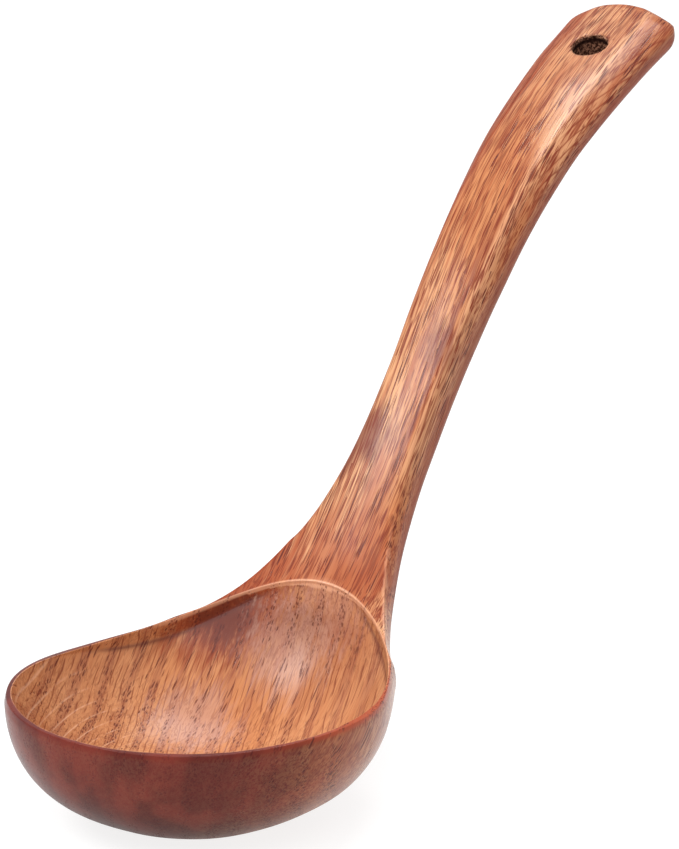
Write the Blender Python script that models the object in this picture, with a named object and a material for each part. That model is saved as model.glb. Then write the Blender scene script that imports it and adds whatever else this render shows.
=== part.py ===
"""Wooden soup ladle, carved from one block.

A round bowl with a thin lip runs, without a seam, into a flat-topped handle that rises, bends over
and ends square, with a hang hole drilled through it.

Frame: metres, +Z up, the bowl's tip towards -X, the handle rising towards +X, symmetric about y = 0.
The origin lies on the small flat that the bowl rests on, below the middle of the bowl's rim.
"""
import math

import bmesh
import bpy
import numpy as np
from mathutils import Matrix, Vector

MM = 0.001

# ---- driving dimensions, in millimetres ------------------------------------------------------------
# Side view of the top: the rim of the bowl, the neck and the handle's flat face, tip to end, as (x, z).
TOP_POINTS = [
    (-44.0, 30.4), (-4.0, 31.5), (10.5, 31.1), (41.5, 36.0), (60.0, 48.7),
    (108.0, 102.0), (140.0, 133.5), (176.5, 155.5), (202.0, 166.7),
]
BOWL_HALF_LENGTH = 44.0
BOWL_HALF_WIDTH = 45.0
BOWL_DEPTH = 31.6              # reaches past z = 0, where the rest flat is cut
PLAN_ROUNDNESS = 2.1           # exponent of the bowl's outline from above
KEEL_ROUNDNESS = 2.55          # exponent of the bowl's outline from the side
BOWL_SECTION_ROUNDNESS = 2.25  # exponent of a section across the bowl
HANDLE_SECTION_ROUNDNESS = 2.6

# Along the handle, measured from where it leaves the bowl.
NECK_START = 81.0              # distance from the tip along the top
WIDTH_STATIONS = [0.0, 12.0, 28.0, 60.0, 110.0, 160.0, 215.0]
HALF_WIDTHS = [31.0, 23.2, 15.8, 8.9, 9.9, 13.3, 16.2]
THICKNESS_STATIONS = [0.0, 54.0, 108.0, 161.0, 215.0]
THICKNESSES = [10.0, 13.2, 13.3, 11.9, 12.6]
RIDGE_INSETS = [0.3, 0.8, 1.4, 4.4, 6.7]   # top face edge to widest point, at the same stations
RIDGE_DROP_SHARE = 0.30        # depth of the widest point, as a share of the thickness
SHOULDER_ROUNDNESS = 1.3       # 1 is a flat chamfer from the ridge to the widest point
NECK_FLARE = 14.2              # how far the bowl and handle outlines melt together
NECK_FILLET = 13.7
NECK_BLEND_LENGTH = 4.0        # how fast the two start to melt, past the middle of the bowl
HANDLE_FORM_START = 70.4       # from here the section turns from the bowl's form into the handle's
HANDLE_FORM_LENGTH = 35.2
HANDLE_CROWN = 0.5             # rise of the handle's top face at its middle

RIM_INSET = 0.3                # rounding of the bowl's outer rim edge
RIM_DROP = 2.0
MOST_INSET_SHARE = 0.5         # limits of the two where the section is small, at the very tip
MOST_DROP_SHARE = 0.6

END_CORNER = 6.0               # rounded corners of the handle's end, from above
END_CORNER_ROUNDNESS = 2.25
END_NOSE = 5.3                 # rounding of the end's lower edge
END_NOSE_SHARE = 0.62          # thickness left at the very end

# The hollow, from above: an egg shape with its long end under the neck.
HOLLOW_CENTRE = -3.0
HOLLOW_FRONT = 39.4
HOLLOW_BACK = 56.7
HOLLOW_HALF_WIDTH = 43.0
HOLLOW_FRONT_ROUNDNESS = 2.0
HOLLOW_BACK_ROUNDNESS = 2.0
FLOOR_THICKNESS = 4.6
DISH_ROUNDNESS = 2.2
DISH_STRETCH = 1.05            # the dish meets the lip before its wall is upright
ARCH_BAND = 4.0                # height of the upright wall under the neck's two sides

HANG_HOLE_RADIUS = 4.8
HANG_HOLE_FROM_END = 20.7      # along the top face
DRILL_LENGTH = 60.0
SLAB_SIDE = 100.0              # the cutter that leaves the rest flat
SLAB_THICKNESS = 20.0

# ---- mesh density ----------------------------------------------------------------------------------
TIP_RINGS = 14
BODY_STEP = 5.5                # millimetres between sections along the handle
NOSE_RINGS = 5
TOP_STEPS = 6
SHOULDER_STEPS = 2
KEEL_STEPS = 16
HOLLOW_STEPS = 56
HOLLOW_RINGS = 10
HOLE_STEPS = 28
FIRST_RING = 0.03              # distance of the first section from the tip
CURVE_SAMPLES = 1500
HOLLOW_CUTTER_TOP = 62.0       # in the open air above the rim and the neck
SHARP_EDGE_DEGREES = 35.0


def natural_spline(knots, values):
    """Return a function that runs smoothly through values at knots, with straight ends."""
    knots = np.asarray(knots, float)
    values = np.asarray(values, float)
    gaps = np.diff(knots)
    slopes = (np.diff(values, axis=0).T / gaps).T
    system = np.eye(len(knots))
    right_side = np.zeros_like(values)
    for i in range(1, len(knots) - 1):
        system[i, i - 1:i + 2] = gaps[i - 1], 2 * (gaps[i - 1] + gaps[i]), gaps[i]
        right_side[i] = 6 * (slopes[i] - slopes[i - 1])
    bends = np.linalg.solve(system, right_side)

    def at(place):
        place = min(max(place, knots[0]), knots[-1])
        i = min(int(np.searchsorted(knots, place, side="right")) - 1, len(gaps) - 1)
        after = place - knots[i]
        before = knots[i + 1] - place
        gap = gaps[i]
        curved = (bends[i] * (before ** 3 / gap - gap * before)
                  + bends[i + 1] * (after ** 3 / gap - gap * after)) / 6
        return (values[i] * before + values[i + 1] * after) / gap + curved

    return at


def smooth_step(share):
    share = min(max(share, 0.0), 1.0)
    return share * share * (3 - 2 * share)


def smooth_max(first, second, reach):
    """The larger of two values, rounded where they are within reach of each other."""
    share = min(max(0.5 + 0.5 * (first - second) / reach, 0.0), 1.0)
    return second + (first - second) * share + reach * share * (1 - share)


def round_off(share, roundness):
    """Falls from 1 to 0 along a superellipse as share goes from 0 to 1."""
    share = min(max(share, 0.0), 1.0)
    return (1 - share ** roundness) ** (1 / roundness)


class TopCurve:
    """The side view of the top, by distance along it from the tip."""

    def __init__(self):
        points = np.array(TOP_POINTS)
        chords = np.linalg.norm(np.diff(points, axis=0), axis=1)
        knots = np.concatenate([[0.0], np.cumsum(chords)])
        path = natural_spline(knots, points)
        self.fine = np.array([path(place) for place in np.linspace(0, knots[-1], CURVE_SAMPLES)])
        steps = np.linalg.norm(np.diff(self.fine, axis=0), axis=1)
        self.travel = np.concatenate([[0.0], np.cumsum(steps)])
        self.length = self.travel[-1]

    def point(self, distance):
        x = np.interp(distance, self.travel, self.fine[:, 0])
        z = np.interp(distance, self.travel, self.fine[:, 1])
        return Vector((x, 0.0, z))

    def tangent(self, distance):
        reach = 1.0
        ahead = self.point(min(distance + reach, self.length))
        behind = self.point(max(distance - reach, 0.0))
        return (ahead - behind).normalized()

    def height(self, x):
        return float(np.interp(x, self.fine[:, 0], self.fine[:, 1]))


TOP = TopCurve()
HALF_WIDTH_AT = natural_spline(WIDTH_STATIONS, HALF_WIDTHS)
THICKNESS_AT = natural_spline(THICKNESS_STATIONS, THICKNESSES)
RIDGE_INSET_AT = natural_spline(THICKNESS_STATIONS, RIDGE_INSETS)


def section(distance):
    """Half width, depth, ridge inset, ridge drop, roundness and crown of the section at a distance."""
    along = distance - NECK_START
    from_end = TOP.length - distance
    bowl_share = abs(distance - BOWL_HALF_LENGTH) / BOWL_HALF_LENGTH
    half_width = BOWL_HALF_WIDTH * round_off(bowl_share, PLAN_ROUNDNESS)
    depth = BOWL_DEPTH * round_off(bowl_share, KEEL_ROUNDNESS)
    handle_thickness = THICKNESS_AT(along)
    if distance > BOWL_HALF_LENGTH:
        corner = END_CORNER * (1 - round_off(1 - from_end / END_CORNER, END_CORNER_ROUNDNESS))
        nose = END_NOSE_SHARE + (1 - END_NOSE_SHARE) * round_off(1 - from_end / END_NOSE, 2.0)
        blend = 1 / (1 + math.exp((BOWL_HALF_LENGTH - distance) / NECK_BLEND_LENGTH))
        half_width = smooth_max(half_width, HALF_WIDTH_AT(along) - corner, NECK_FLARE * blend)
        depth = smooth_max(depth, handle_thickness * nose, NECK_FILLET * blend)
    handle_share = (distance - HANDLE_FORM_START) / HANDLE_FORM_LENGTH
    mix = smooth_step(handle_share)
    inset = RIM_INSET * (1 - mix) + RIDGE_INSET_AT(along) * mix
    inset = min(inset, MOST_INSET_SHARE * half_width)
    drop = RIM_DROP * (1 - mix) + RIDGE_DROP_SHARE * handle_thickness * mix
    drop = min(drop, MOST_DROP_SHARE * depth)
    straight_mix = min(max(handle_share, 0.0), 1.0)
    roundness = BOWL_SECTION_ROUNDNESS + (HANDLE_SECTION_ROUNDNESS - BOWL_SECTION_ROUNDNESS) * straight_mix
    return half_width, depth, inset, drop, roundness, HANDLE_CROWN * mix


def ring(distance):
    """The section's closed outline in space: the top face, one side, the keel and the other side."""
    half_width, depth, inset, drop, roundness, crown = section(distance)
    ridge = half_width - inset
    outline = []
    for i in range(TOP_STEPS):
        across = 1 - 2 * i / TOP_STEPS
        outline.append((ridge * across, -crown * (1 - across ** 2)))
    for i in range(SHOULDER_STEPS):
        share = i / SHOULDER_STEPS
        outline.append((-(half_width - inset * (1 - share) ** SHOULDER_ROUNDNESS), drop * share))
    for i in range(KEEL_STEPS + 1):
        angle = math.pi * (1 - i / KEEL_STEPS)
        across = math.copysign(abs(math.cos(angle)) ** (2 / roundness), math.cos(angle))
        below = abs(math.sin(angle)) ** (2 / roundness)
        outline.append((half_width * across, drop + (depth - drop) * below))
    for i in range(SHOULDER_STEPS - 1, 0, -1):
        share = i / SHOULDER_STEPS
        outline.append((half_width - inset * (1 - share) ** SHOULDER_ROUNDNESS, drop * share))
    start = TOP.point(distance)
    tangent = TOP.tangent(distance)
    down = Vector((tangent.z, 0.0, -tangent.x))
    return [start + Vector((0.0, y, 0.0)) + down * below for y, below in outline]


def ring_distances():
    """Where the sections lie: close together at the tip and at the end, even between them."""
    tip = [BOWL_HALF_LENGTH * (1 - math.cos(0.5 * math.pi * i / TIP_RINGS)) for i in range(TIP_RINGS)]
    tip[0] = FIRST_RING
    nose_start = TOP.length - END_NOSE
    steps = round((nose_start - BOWL_HALF_LENGTH) / BODY_STEP)
    body = [float(d) for d in np.linspace(BOWL_HALF_LENGTH, nose_start, steps + 1)]
    turns = [0.5 * math.pi * i / NOSE_RINGS for i in range(1, NOSE_RINGS + 1)]
    nose = [nose_start + END_NOSE * math.sin(turn) for turn in turns]
    return tip + body + nose


def skin(bm, rings):
    """Join closed outlines of equal length with quads and return their vertices, row by row."""
    rows = [[bm.verts.new(point * MM) for point in outline] for outline in rings]
    for near, far in zip(rows, rows[1:]):
        for i in range(len(near)):
            j = (i + 1) % len(near)
            bm.faces.new((near[i], near[j], far[j], far[i]))
    return rows


def add_object(name, bm):
    bmesh.ops.recalc_face_normals(bm, faces=bm.faces)
    mesh = bpy.data.meshes.new(name)
    bm.to_mesh(mesh)
    bm.free()
    made = bpy.data.objects.new(name, mesh)
    bpy.context.collection.objects.link(made)
    return made


def add_cutter(name, bm):
    cutter = add_object(name, bm)
    cutter.hide_render = True
    cutter.display_type = "WIRE"
    return cutter


def ladle_blank():
    """The outer shape, uncut: a loft of sections from the tip to the handle's end."""
    bm = bmesh.new()
    rows = skin(bm, [ring(distance) for distance in ring_distances()])
    bm.faces.new(rows[0])
    bm.faces.new(rows[-1])
    return add_object("ladle_body", bm)


def hollow_outline(angle):
    """A point of the hollow's edge, seen from above."""
    across, along = math.sin(angle), math.cos(angle)
    reach = HOLLOW_BACK if along > 0 else HOLLOW_FRONT
    roundness = HOLLOW_BACK_ROUNDNESS if along > 0 else HOLLOW_FRONT_ROUNDNESS
    x = HOLLOW_CENTRE + reach * math.copysign(abs(along) ** (2 / roundness), along)
    y = HOLLOW_HALF_WIDTH * math.copysign(abs(across) ** (2 / roundness), across)
    return x, y


def dish_edge_height(angle, x):
    """Where the dish meets the upright wall: at the lip, and lower under the neck's two sides."""
    band = ARCH_BAND * math.sin(2 * angle) ** 2 if math.cos(angle) > 0 else 0.0
    return TOP.height(x) - band


def hollow_cutter():
    """The dish with an upright wall above it, closed by a flat top in the open air."""
    edge_rise = 1 - round_off(1 / DISH_STRETCH, DISH_ROUNDNESS)
    angles = [2 * math.pi * i / HOLLOW_STEPS for i in range(HOLLOW_STEPS)]
    outline = [hollow_outline(angle) for angle in angles]
    edges = [dish_edge_height(angle, x) for angle, (x, y) in zip(angles, outline)]
    rings = []
    for step in range(1, HOLLOW_RINGS + 1):
        share = math.sin(0.5 * math.pi * step / HOLLOW_RINGS)
        rise = (1 - round_off(share / DISH_STRETCH, DISH_ROUNDNESS)) / edge_rise
        rings.append([
            Vector((
                HOLLOW_CENTRE + (x - HOLLOW_CENTRE) * share,
                y * share,
                FLOOR_THICKNESS + (edge - FLOOR_THICKNESS) * rise,
            ))
            for (x, y), edge in zip(outline, edges)
        ])
    rings.append([Vector((x, y, HOLLOW_CUTTER_TOP)) for x, y in outline])
    bm = bmesh.new()
    rows = skin(bm, rings)
    bm.faces.new(rows[-1])
    bottom = bm.verts.new(Vector((HOLLOW_CENTRE, 0.0, FLOOR_THICKNESS)) * MM)
    first = rows[0]
    for i in range(len(first)):
        bm.faces.new((bottom, first[(i + 1) % len(first)], first[i]))
    return add_cutter("hollow_cutter", bm)


def hang_hole_cutter():
    """A straight drill square to the handle's top face."""
    distance = TOP.length - HANG_HOLE_FROM_END
    tangent = TOP.tangent(distance)
    tilt = Matrix.Rotation(-math.atan2(tangent.z, tangent.x), 4, "Y")
    place = Matrix.Translation(TOP.point(distance) * MM) @ tilt
    bm = bmesh.new()
    bmesh.ops.create_cone(
        bm, cap_ends=True, segments=HOLE_STEPS,
        radius1=HANG_HOLE_RADIUS * MM, radius2=HANG_HOLE_RADIUS * MM,
        depth=DRILL_LENGTH * MM, matrix=place,
    )
    return add_cutter("hang_hole_cutter", bm)


def rest_flat_cutter():
    """A slab under z = 0 that leaves the bowl a small flat to stand on."""
    bm = bmesh.new()
    middle = Matrix.Translation(Vector((0.0, 0.0, -0.5 * SLAB_THICKNESS)) * MM)
    size = Matrix.Diagonal((SLAB_SIDE * MM, SLAB_SIDE * MM, SLAB_THICKNESS * MM, 1.0))
    bmesh.ops.create_cube(bm, size=1.0, matrix=middle @ size)
    return add_cutter("rest_flat_cutter", bm)


def lacquered_wood():
    material = bpy.data.materials.new("lacquered_wood")
    material.use_nodes = True
    shader = material.node_tree.nodes["Principled BSDF"]
    shader.inputs["Base Color"].default_value = (0.42, 0.18, 0.09, 1.0)
    shader.inputs["Roughness"].default_value = 0.3
    shader.inputs["Metallic"].default_value = 0.0
    return material


def cut(body, cutter):
    modifier = body.modifiers.new(cutter.name, "BOOLEAN")
    modifier.operation = "DIFFERENCE"
    modifier.solver = "EXACT"
    modifier.object = cutter


def build():
    for old in list(bpy.data.objects):
        bpy.data.objects.remove(old, do_unlink=True)
    body = ladle_blank()
    body.data.materials.append(lacquered_wood())
    body.data.shade_smooth()
    body.data.set_sharp_from_angle(angle=math.radians(SHARP_EDGE_DEGREES))
    cut(body, hollow_cutter())
    cut(body, hang_hole_cutter())
    cut(body, rest_flat_cutter())


build()
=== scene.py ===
"""Lacquered wooden soup ladle: the fine, hand-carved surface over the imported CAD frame.

Geometry is made in millimetres in the frame's axes and scaled to metres at the end: +Z up, the bowl's
tip towards -X, the handle rising towards +X, symmetric about y = 0, and z = 0 under the bowl.
"""
import math

import bmesh
import bpy
import numpy as np
from mathutils import Matrix, Vector


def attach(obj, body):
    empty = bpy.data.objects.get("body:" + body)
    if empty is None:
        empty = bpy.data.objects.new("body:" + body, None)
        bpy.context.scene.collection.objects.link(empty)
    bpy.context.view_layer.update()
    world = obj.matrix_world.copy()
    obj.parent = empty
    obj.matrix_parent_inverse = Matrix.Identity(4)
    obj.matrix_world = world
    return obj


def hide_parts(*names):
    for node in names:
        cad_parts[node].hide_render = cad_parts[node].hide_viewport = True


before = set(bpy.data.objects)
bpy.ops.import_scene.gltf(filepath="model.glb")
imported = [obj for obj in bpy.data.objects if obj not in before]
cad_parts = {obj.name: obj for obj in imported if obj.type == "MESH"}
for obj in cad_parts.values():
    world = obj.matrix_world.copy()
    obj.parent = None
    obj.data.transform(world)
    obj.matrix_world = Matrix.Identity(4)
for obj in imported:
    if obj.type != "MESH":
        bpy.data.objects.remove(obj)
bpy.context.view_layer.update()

MM = 0.001

# ---- the CAD part's own dimensions, in millimetres, with a rounder rim -------------------------------
TOP_POINTS = [
    (-44.0, 30.4), (-4.0, 31.5), (10.5, 31.1), (41.5, 36.0), (60.0, 48.7),
    (108.0, 102.0), (140.0, 133.5), (176.5, 155.5), (202.0, 166.7),
]
BOWL_HALF_LENGTH = 44.0
BOWL_HALF_WIDTH = 45.0
BOWL_DEPTH = 31.6
PLAN_ROUNDNESS = 2.1
KEEL_ROUNDNESS = 2.55
BOWL_SECTION_ROUNDNESS = 2.25
HANDLE_SECTION_ROUNDNESS = 2.6
NECK_START = 81.0
WIDTH_STATIONS = [0.0, 12.0, 28.0, 60.0, 110.0, 160.0, 215.0]
HALF_WIDTHS = [31.0, 23.2, 15.8, 8.9, 9.9, 13.3, 16.2]
THICKNESS_STATIONS = [0.0, 54.0, 108.0, 161.0, 215.0]
THICKNESSES = [10.0, 13.2, 13.3, 11.9, 12.6]
RIDGE_INSETS = [0.3, 0.8, 1.4, 4.4, 6.7]
RIDGE_DROP_SHARE = 0.30
SHOULDER_ROUNDNESS = 1.3
NECK_FLARE = 14.2
NECK_FILLET = 13.7
NECK_BLEND_LENGTH = 4.0
HANDLE_FORM_START = 70.4
HANDLE_FORM_LENGTH = 35.2
HANDLE_CROWN = 0.5
RIM_INSET = 0.5
RIM_DROP = 2.0
END_CORNER = 6.0
END_CORNER_ROUNDNESS = 2.25
END_NOSE = 5.3
END_NOSE_SHARE = 0.62
HOLLOW_CENTRE = -3.0
HOLLOW_FRONT = 39.4
HOLLOW_BACK = 56.7
HOLLOW_HALF_WIDTH = 43.0
FLOOR_THICKNESS = 4.6
DISH_ROUNDNESS = 2.2
DISH_STRETCH = 1.05
ARCH_BAND = 4.0
HANG_HOLE_RADIUS = 4.8
HANG_HOLE_FROM_END = 20.7

# ---- mesh density ------------------------------------------------------------------------------------
RIM_TURN = math.radians(60.0)   # the bowl's polar grid runs from the tip to this angle from the neck
RIM_CELLS = 84
NECK_END = 112.0                # distance along the top where the handle's own rings start
NECK_CELLS = 44
HANDLE_CELLS = 168
END_CELLS = 16
TOP_CELLS = 40
KEEL_CELLS = 96
SHOULDER_CELLS = 7
DISH_CELLS = 46
BAND_CELLS = 6
LIP_CELLS = 16
BOWL_CELLS = 46
TIP_GAP = 0.03
END_CAP_SHARES = (0.97, 0.935, 0.89, 0.83, 0.75, 0.65, 0.53, 0.4, 0.26, 0.13)

# ---- finish of the surface ---------------------------------------------------------------------------
UNEVENNESS = 0.22               # depth of the hand-carved waviness
SKIN_OFFSET = 0.09              # the whole surface stands this much further out
HANDLE_SWELL = 0.25             # and the handle this much more
RESTING_HEIGHT = 4.0            # the waviness fades out below this height
BAND_MARGIN = 0.25              # least height of the upright wall under the hollow's edge
ARCH_STRETCH = 0.16             # a steeper dish under the arch's two sides
SOFT_START = (104.0, 12.0)      # where the handle's edges start to soften, and over what length
SOFT_END_NEAR = (190.0, 45.0)   # and where they stop, on the side with the ridge
SOFT_END_FAR = (268.0, 18.0)
CRISP_RINGS = 60                # rings at the end whose ridge stays crisp

# ---- the hang hole -----------------------------------------------------------------------------------
HOLE_STEPS = 72
MOUTH = 0.45                    # radius of the rounded mouth
MOUTH_RINGS = 5
MOUTH_LIFT = 0.02
HOLE_DEPTHS = (0.07, 0.12, 0.17, 0.24, 0.35, 0.5, 0.65, 0.8, 0.93)

# ---- the fibre ---------------------------------------------------------------------------------------
SPINE_FROM = 62.0               # below this x the fibre runs straight on
SPINE_REACH = 150.0
SPINE_STEP = 1.5


def natural_spline(knots, values):
    knots = np.asarray(knots, float)
    values = np.asarray(values, float)
    gaps = np.diff(knots)
    slopes = (np.diff(values, axis=0).T / gaps).T
    system = np.eye(len(knots))
    right_side = np.zeros_like(values)
    for i in range(1, len(knots) - 1):
        system[i, i - 1:i + 2] = gaps[i - 1], 2 * (gaps[i - 1] + gaps[i]), gaps[i]
        right_side[i] = 6 * (slopes[i] - slopes[i - 1])
    bends = np.linalg.solve(system, right_side)

    def at(place):
        place = min(max(place, knots[0]), knots[-1])
        i = min(int(np.searchsorted(knots, place, side="right")) - 1, len(gaps) - 1)
        after = place - knots[i]
        before = knots[i + 1] - place
        gap = gaps[i]
        curved = (bends[i] * (before ** 3 / gap - gap * before)
                  + bends[i + 1] * (after ** 3 / gap - gap * after)) / 6
        return (values[i] * before + values[i + 1] * after) / gap + curved

    return at


def smooth_step(share):
    share = np.clip(share, 0.0, 1.0)
    return share * share * (3 - 2 * share)


def smooth_max(first, second, reach):
    share = min(max(0.5 + 0.5 * (first - second) / reach, 0.0), 1.0)
    return second + (first - second) * share + reach * share * (1 - share)


def round_off(share, roundness):
    share = np.clip(share, 0.0, 1.0)
    return (1 - share ** roundness) ** (1 / roundness)


def top_curve():
    points = np.array(TOP_POINTS)
    chords = np.linalg.norm(np.diff(points, axis=0), axis=1)
    knots = np.concatenate([[0.0], np.cumsum(chords)])
    path = natural_spline(knots, points)
    fine = np.array([path(place) for place in np.linspace(0, knots[-1], 1500)])
    steps = np.linalg.norm(np.diff(fine, axis=0), axis=1)
    return fine, np.concatenate([[0.0], np.cumsum(steps)])


FINE, TRAVEL = top_curve()
LENGTH = TRAVEL[-1]
HALF_WIDTH_AT = natural_spline(WIDTH_STATIONS, HALF_WIDTHS)
THICKNESS_AT = natural_spline(THICKNESS_STATIONS, THICKNESSES)
RIDGE_INSET_AT = natural_spline(THICKNESS_STATIONS, RIDGE_INSETS)


def section(distance):
    """Half width, depth, ridge inset, ridge drop, roundness and crown, as in the CAD part."""
    along = distance - NECK_START
    from_end = LENGTH - distance
    bowl_share = abs(distance - BOWL_HALF_LENGTH) / BOWL_HALF_LENGTH
    half_width = BOWL_HALF_WIDTH * round_off(bowl_share, PLAN_ROUNDNESS)
    depth = BOWL_DEPTH * round_off(bowl_share, KEEL_ROUNDNESS)
    thickness = THICKNESS_AT(along)
    if distance > BOWL_HALF_LENGTH:
        corner = END_CORNER * (1 - round_off(1 - from_end / END_CORNER, END_CORNER_ROUNDNESS))
        nose = END_NOSE_SHARE + (1 - END_NOSE_SHARE) * round_off(1 - from_end / END_NOSE, 2.0)
        blend = 1 / (1 + math.exp((BOWL_HALF_LENGTH - distance) / NECK_BLEND_LENGTH))
        half_width = smooth_max(half_width, HALF_WIDTH_AT(along) - corner, NECK_FLARE * blend)
        depth = smooth_max(depth, thickness * nose, NECK_FILLET * blend)
    handle_share = (distance - HANDLE_FORM_START) / HANDLE_FORM_LENGTH
    mix = smooth_step(handle_share)
    inset = RIM_INSET * (1 - mix) + RIDGE_INSET_AT(along) * mix
    drop = RIM_DROP * (1 - mix) + RIDGE_DROP_SHARE * thickness * mix
    depth = max(depth, drop)
    straight = min(max(handle_share, 0.0), 1.0)
    roundness = BOWL_SECTION_ROUNDNESS + (HANDLE_SECTION_ROUNDNESS - BOWL_SECTION_ROUNDNESS) * straight
    return half_width, depth, inset, drop, roundness, HANDLE_CROWN * mix


TABLE_AT = np.linspace(0, LENGTH, 6000)
TABLE = np.array([section(d) for d in TABLE_AT]).T


def sections(distance):
    return [np.interp(distance, TABLE_AT, row) for row in TABLE]


def place(distance, across, below):
    """Points in space from distance along the top, offset across, and depth below the top line."""
    distance = np.asarray(distance, float)
    x = np.interp(distance, TRAVEL, FINE[:, 0])
    z = np.interp(distance, TRAVEL, FINE[:, 1])
    ahead = np.minimum(distance + 1, LENGTH)
    behind = np.maximum(distance - 1, 0)
    dx = np.interp(ahead, TRAVEL, FINE[:, 0]) - np.interp(behind, TRAVEL, FINE[:, 0])
    dz = np.interp(ahead, TRAVEL, FINE[:, 1]) - np.interp(behind, TRAVEL, FINE[:, 1])
    size = np.hypot(dx, dz)
    return np.stack([x + below * dz / size, across + 0 * x, z - below * dx / size], axis=-1)


def on_top(distance, across):
    half_width, _, inset, _, _, crown = sections(distance)
    share = np.clip(across / np.maximum(half_width - inset, 0.5), -1, 1)
    return place(distance, across, -crown * (1 - share ** 2))


def under(distance, angle):
    """Points of the side and keel: angle 0 is the widest point at +y, pi the one at -y."""
    half_width, depth, _, drop, roundness, _ = sections(distance)
    c, s = np.cos(angle), np.sin(angle)
    across = half_width * np.sign(c) * np.abs(c) ** (2 / roundness)
    below = drop + (depth - drop) * np.abs(s) ** (2 / roundness)
    return place(distance, across, below)


# ---- grids -------------------------------------------------------------------------------------------
def rim_stations():
    turns = np.linspace(math.pi, RIM_TURN, RIM_CELLS + 1)
    reach = np.cos(turns)
    rim = BOWL_HALF_LENGTH * (1 + reach)
    rim[0] = TIP_GAP
    neck = np.linspace(rim[-1], NECK_END, NECK_CELLS + 1)[1:]
    return reach, np.concatenate([rim, neck])


def handle_stations():
    last = LENGTH - END_NOSE - 1.2
    body = np.linspace(NECK_END, last, HANDLE_CELLS + 1)[1:]
    turn = np.linspace(0, 0.5 * math.pi, END_CELLS + 1)[1:]
    end = last + (LENGTH - last) * np.sin(turn)
    return np.concatenate([body, end])


class Skin:
    """Vertices and quads of the surface, gathered patch by patch."""

    def __init__(self):
        self.points = []
        self.count = 0
        self.faces = []

    def add(self, points):
        points = np.asarray(points, float)
        flat = points.reshape(-1, 3)
        ids = np.arange(self.count, self.count + len(flat)).reshape(points.shape[:-1])
        self.points.append(flat)
        self.count += len(flat)
        return ids

    def quads(self, rows, closed=False):
        """Join rows of vertex numbers, the rows running along axis 1."""
        if closed:
            rows = np.concatenate([rows, rows[:, :1]], axis=1)
        a, b = rows[:-1, :-1], rows[:-1, 1:]
        c, d = rows[1:, 1:], rows[1:, :-1]
        self.faces.append(np.stack([a, b, c, d], axis=-1).reshape(-1, 4))

    def fan(self, loop, centre):
        ahead = np.roll(loop, -1)
        for a, b in zip(loop, ahead):
            self.faces.append(np.array([[a, b, centre, centre]]))


def outline_normal(distance):
    """Outward normal of the ladle's outline from above, as (along, across), on the +y side."""
    reach = 0.05
    ahead = np.minimum(distance + reach, LENGTH)
    behind = np.maximum(distance - reach, 0)
    slope = (sections(ahead)[0] - sections(behind)[0]) / (ahead - behind)
    return np.stack([-slope, np.ones_like(slope)]) / np.hypot(slope, 1)


def hollow_edge(x, y):
    """The hollow's edge on the ray from its centre through each point, and its angle."""
    dx = x - HOLLOW_CENTRE
    reach = np.where(dx > 0, HOLLOW_BACK, HOLLOW_FRONT)
    size = np.hypot(dx / reach, y / HOLLOW_HALF_WIDTH)
    return HOLLOW_CENTRE + dx / size, y / size, np.arctan2(y / HOLLOW_HALF_WIDTH, dx / reach)


def lip_shares(lengths):
    """Shares along each column from the hollow's edge to the ridge, close together at both ends."""
    near = np.array([0.12, 0.28, 0.5, 0.8])
    squeeze = np.minimum(1.0, 0.4 * lengths / near[-1])[:, None]
    start = near[None, :] * squeeze
    end = lengths[:, None] - start[:, ::-1]
    inner = LIP_CELLS - 2 * len(near)
    share = np.arange(1, inner)[None, :] / inner
    middle = start[:, -1:] + (end[:, :1] - start[:, -1:]) * share
    zero = np.zeros((len(lengths), 1))
    return np.concatenate([zero, start, middle, end, lengths[:, None]], axis=1) / lengths[:, None]


skin = Skin()
reach, rim = rim_stations()
stations = handle_stations()
half_width, _, inset, drop, _, _ = sections(rim)
normal = outline_normal(rim)
turn = smooth_step((rim - 60) / 25)
normal = np.stack([normal[0] * (1 - turn), normal[1] * (1 - turn) + turn])
normal /= np.hypot(*normal)
ridge_along = rim - normal[0] * inset
ridge_across = half_width - normal[1] * inset
ridge_along[0], ridge_across[0] = inset[0], 0.0
ridge_across = np.maximum(ridge_across, 0.0)

column = np.arange(TOP_CELLS + 1) / TOP_CELLS
across_shares = 0.35 * (1 - 2 * column) + 0.65 * np.cos(math.pi * column)
row_half = sections(NECK_END)[0] - sections(NECK_END)[2]
row_along = np.full(TOP_CELLS - 1, NECK_END)
row_across = row_half * across_shares[1:-1]
loop_along = np.concatenate([ridge_along, row_along, ridge_along[:0:-1]])
loop_across = np.concatenate([ridge_across, row_across, -ridge_across[:0:-1]])
loop_x = np.interp(loop_along, TRAVEL, FINE[:, 0])
edge_x, edge_y, edge_angle = hollow_edge(loop_x, loop_across)
edge_along = np.interp(edge_x, FINE[:, 0], TRAVEL)

# the lip and the top of the neck
lengths = np.hypot(loop_along - edge_along, loop_across - edge_y)
shares = lip_shares(lengths)
lip_along = edge_along[:, None] + (loop_along - edge_along)[:, None] * shares
lip_across = edge_y[:, None] + (loop_across - edge_y)[:, None] * shares
lip = skin.add(on_top(lip_along, lip_across).transpose(1, 0, 2))
skin.quads(lip, closed=True)

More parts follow.
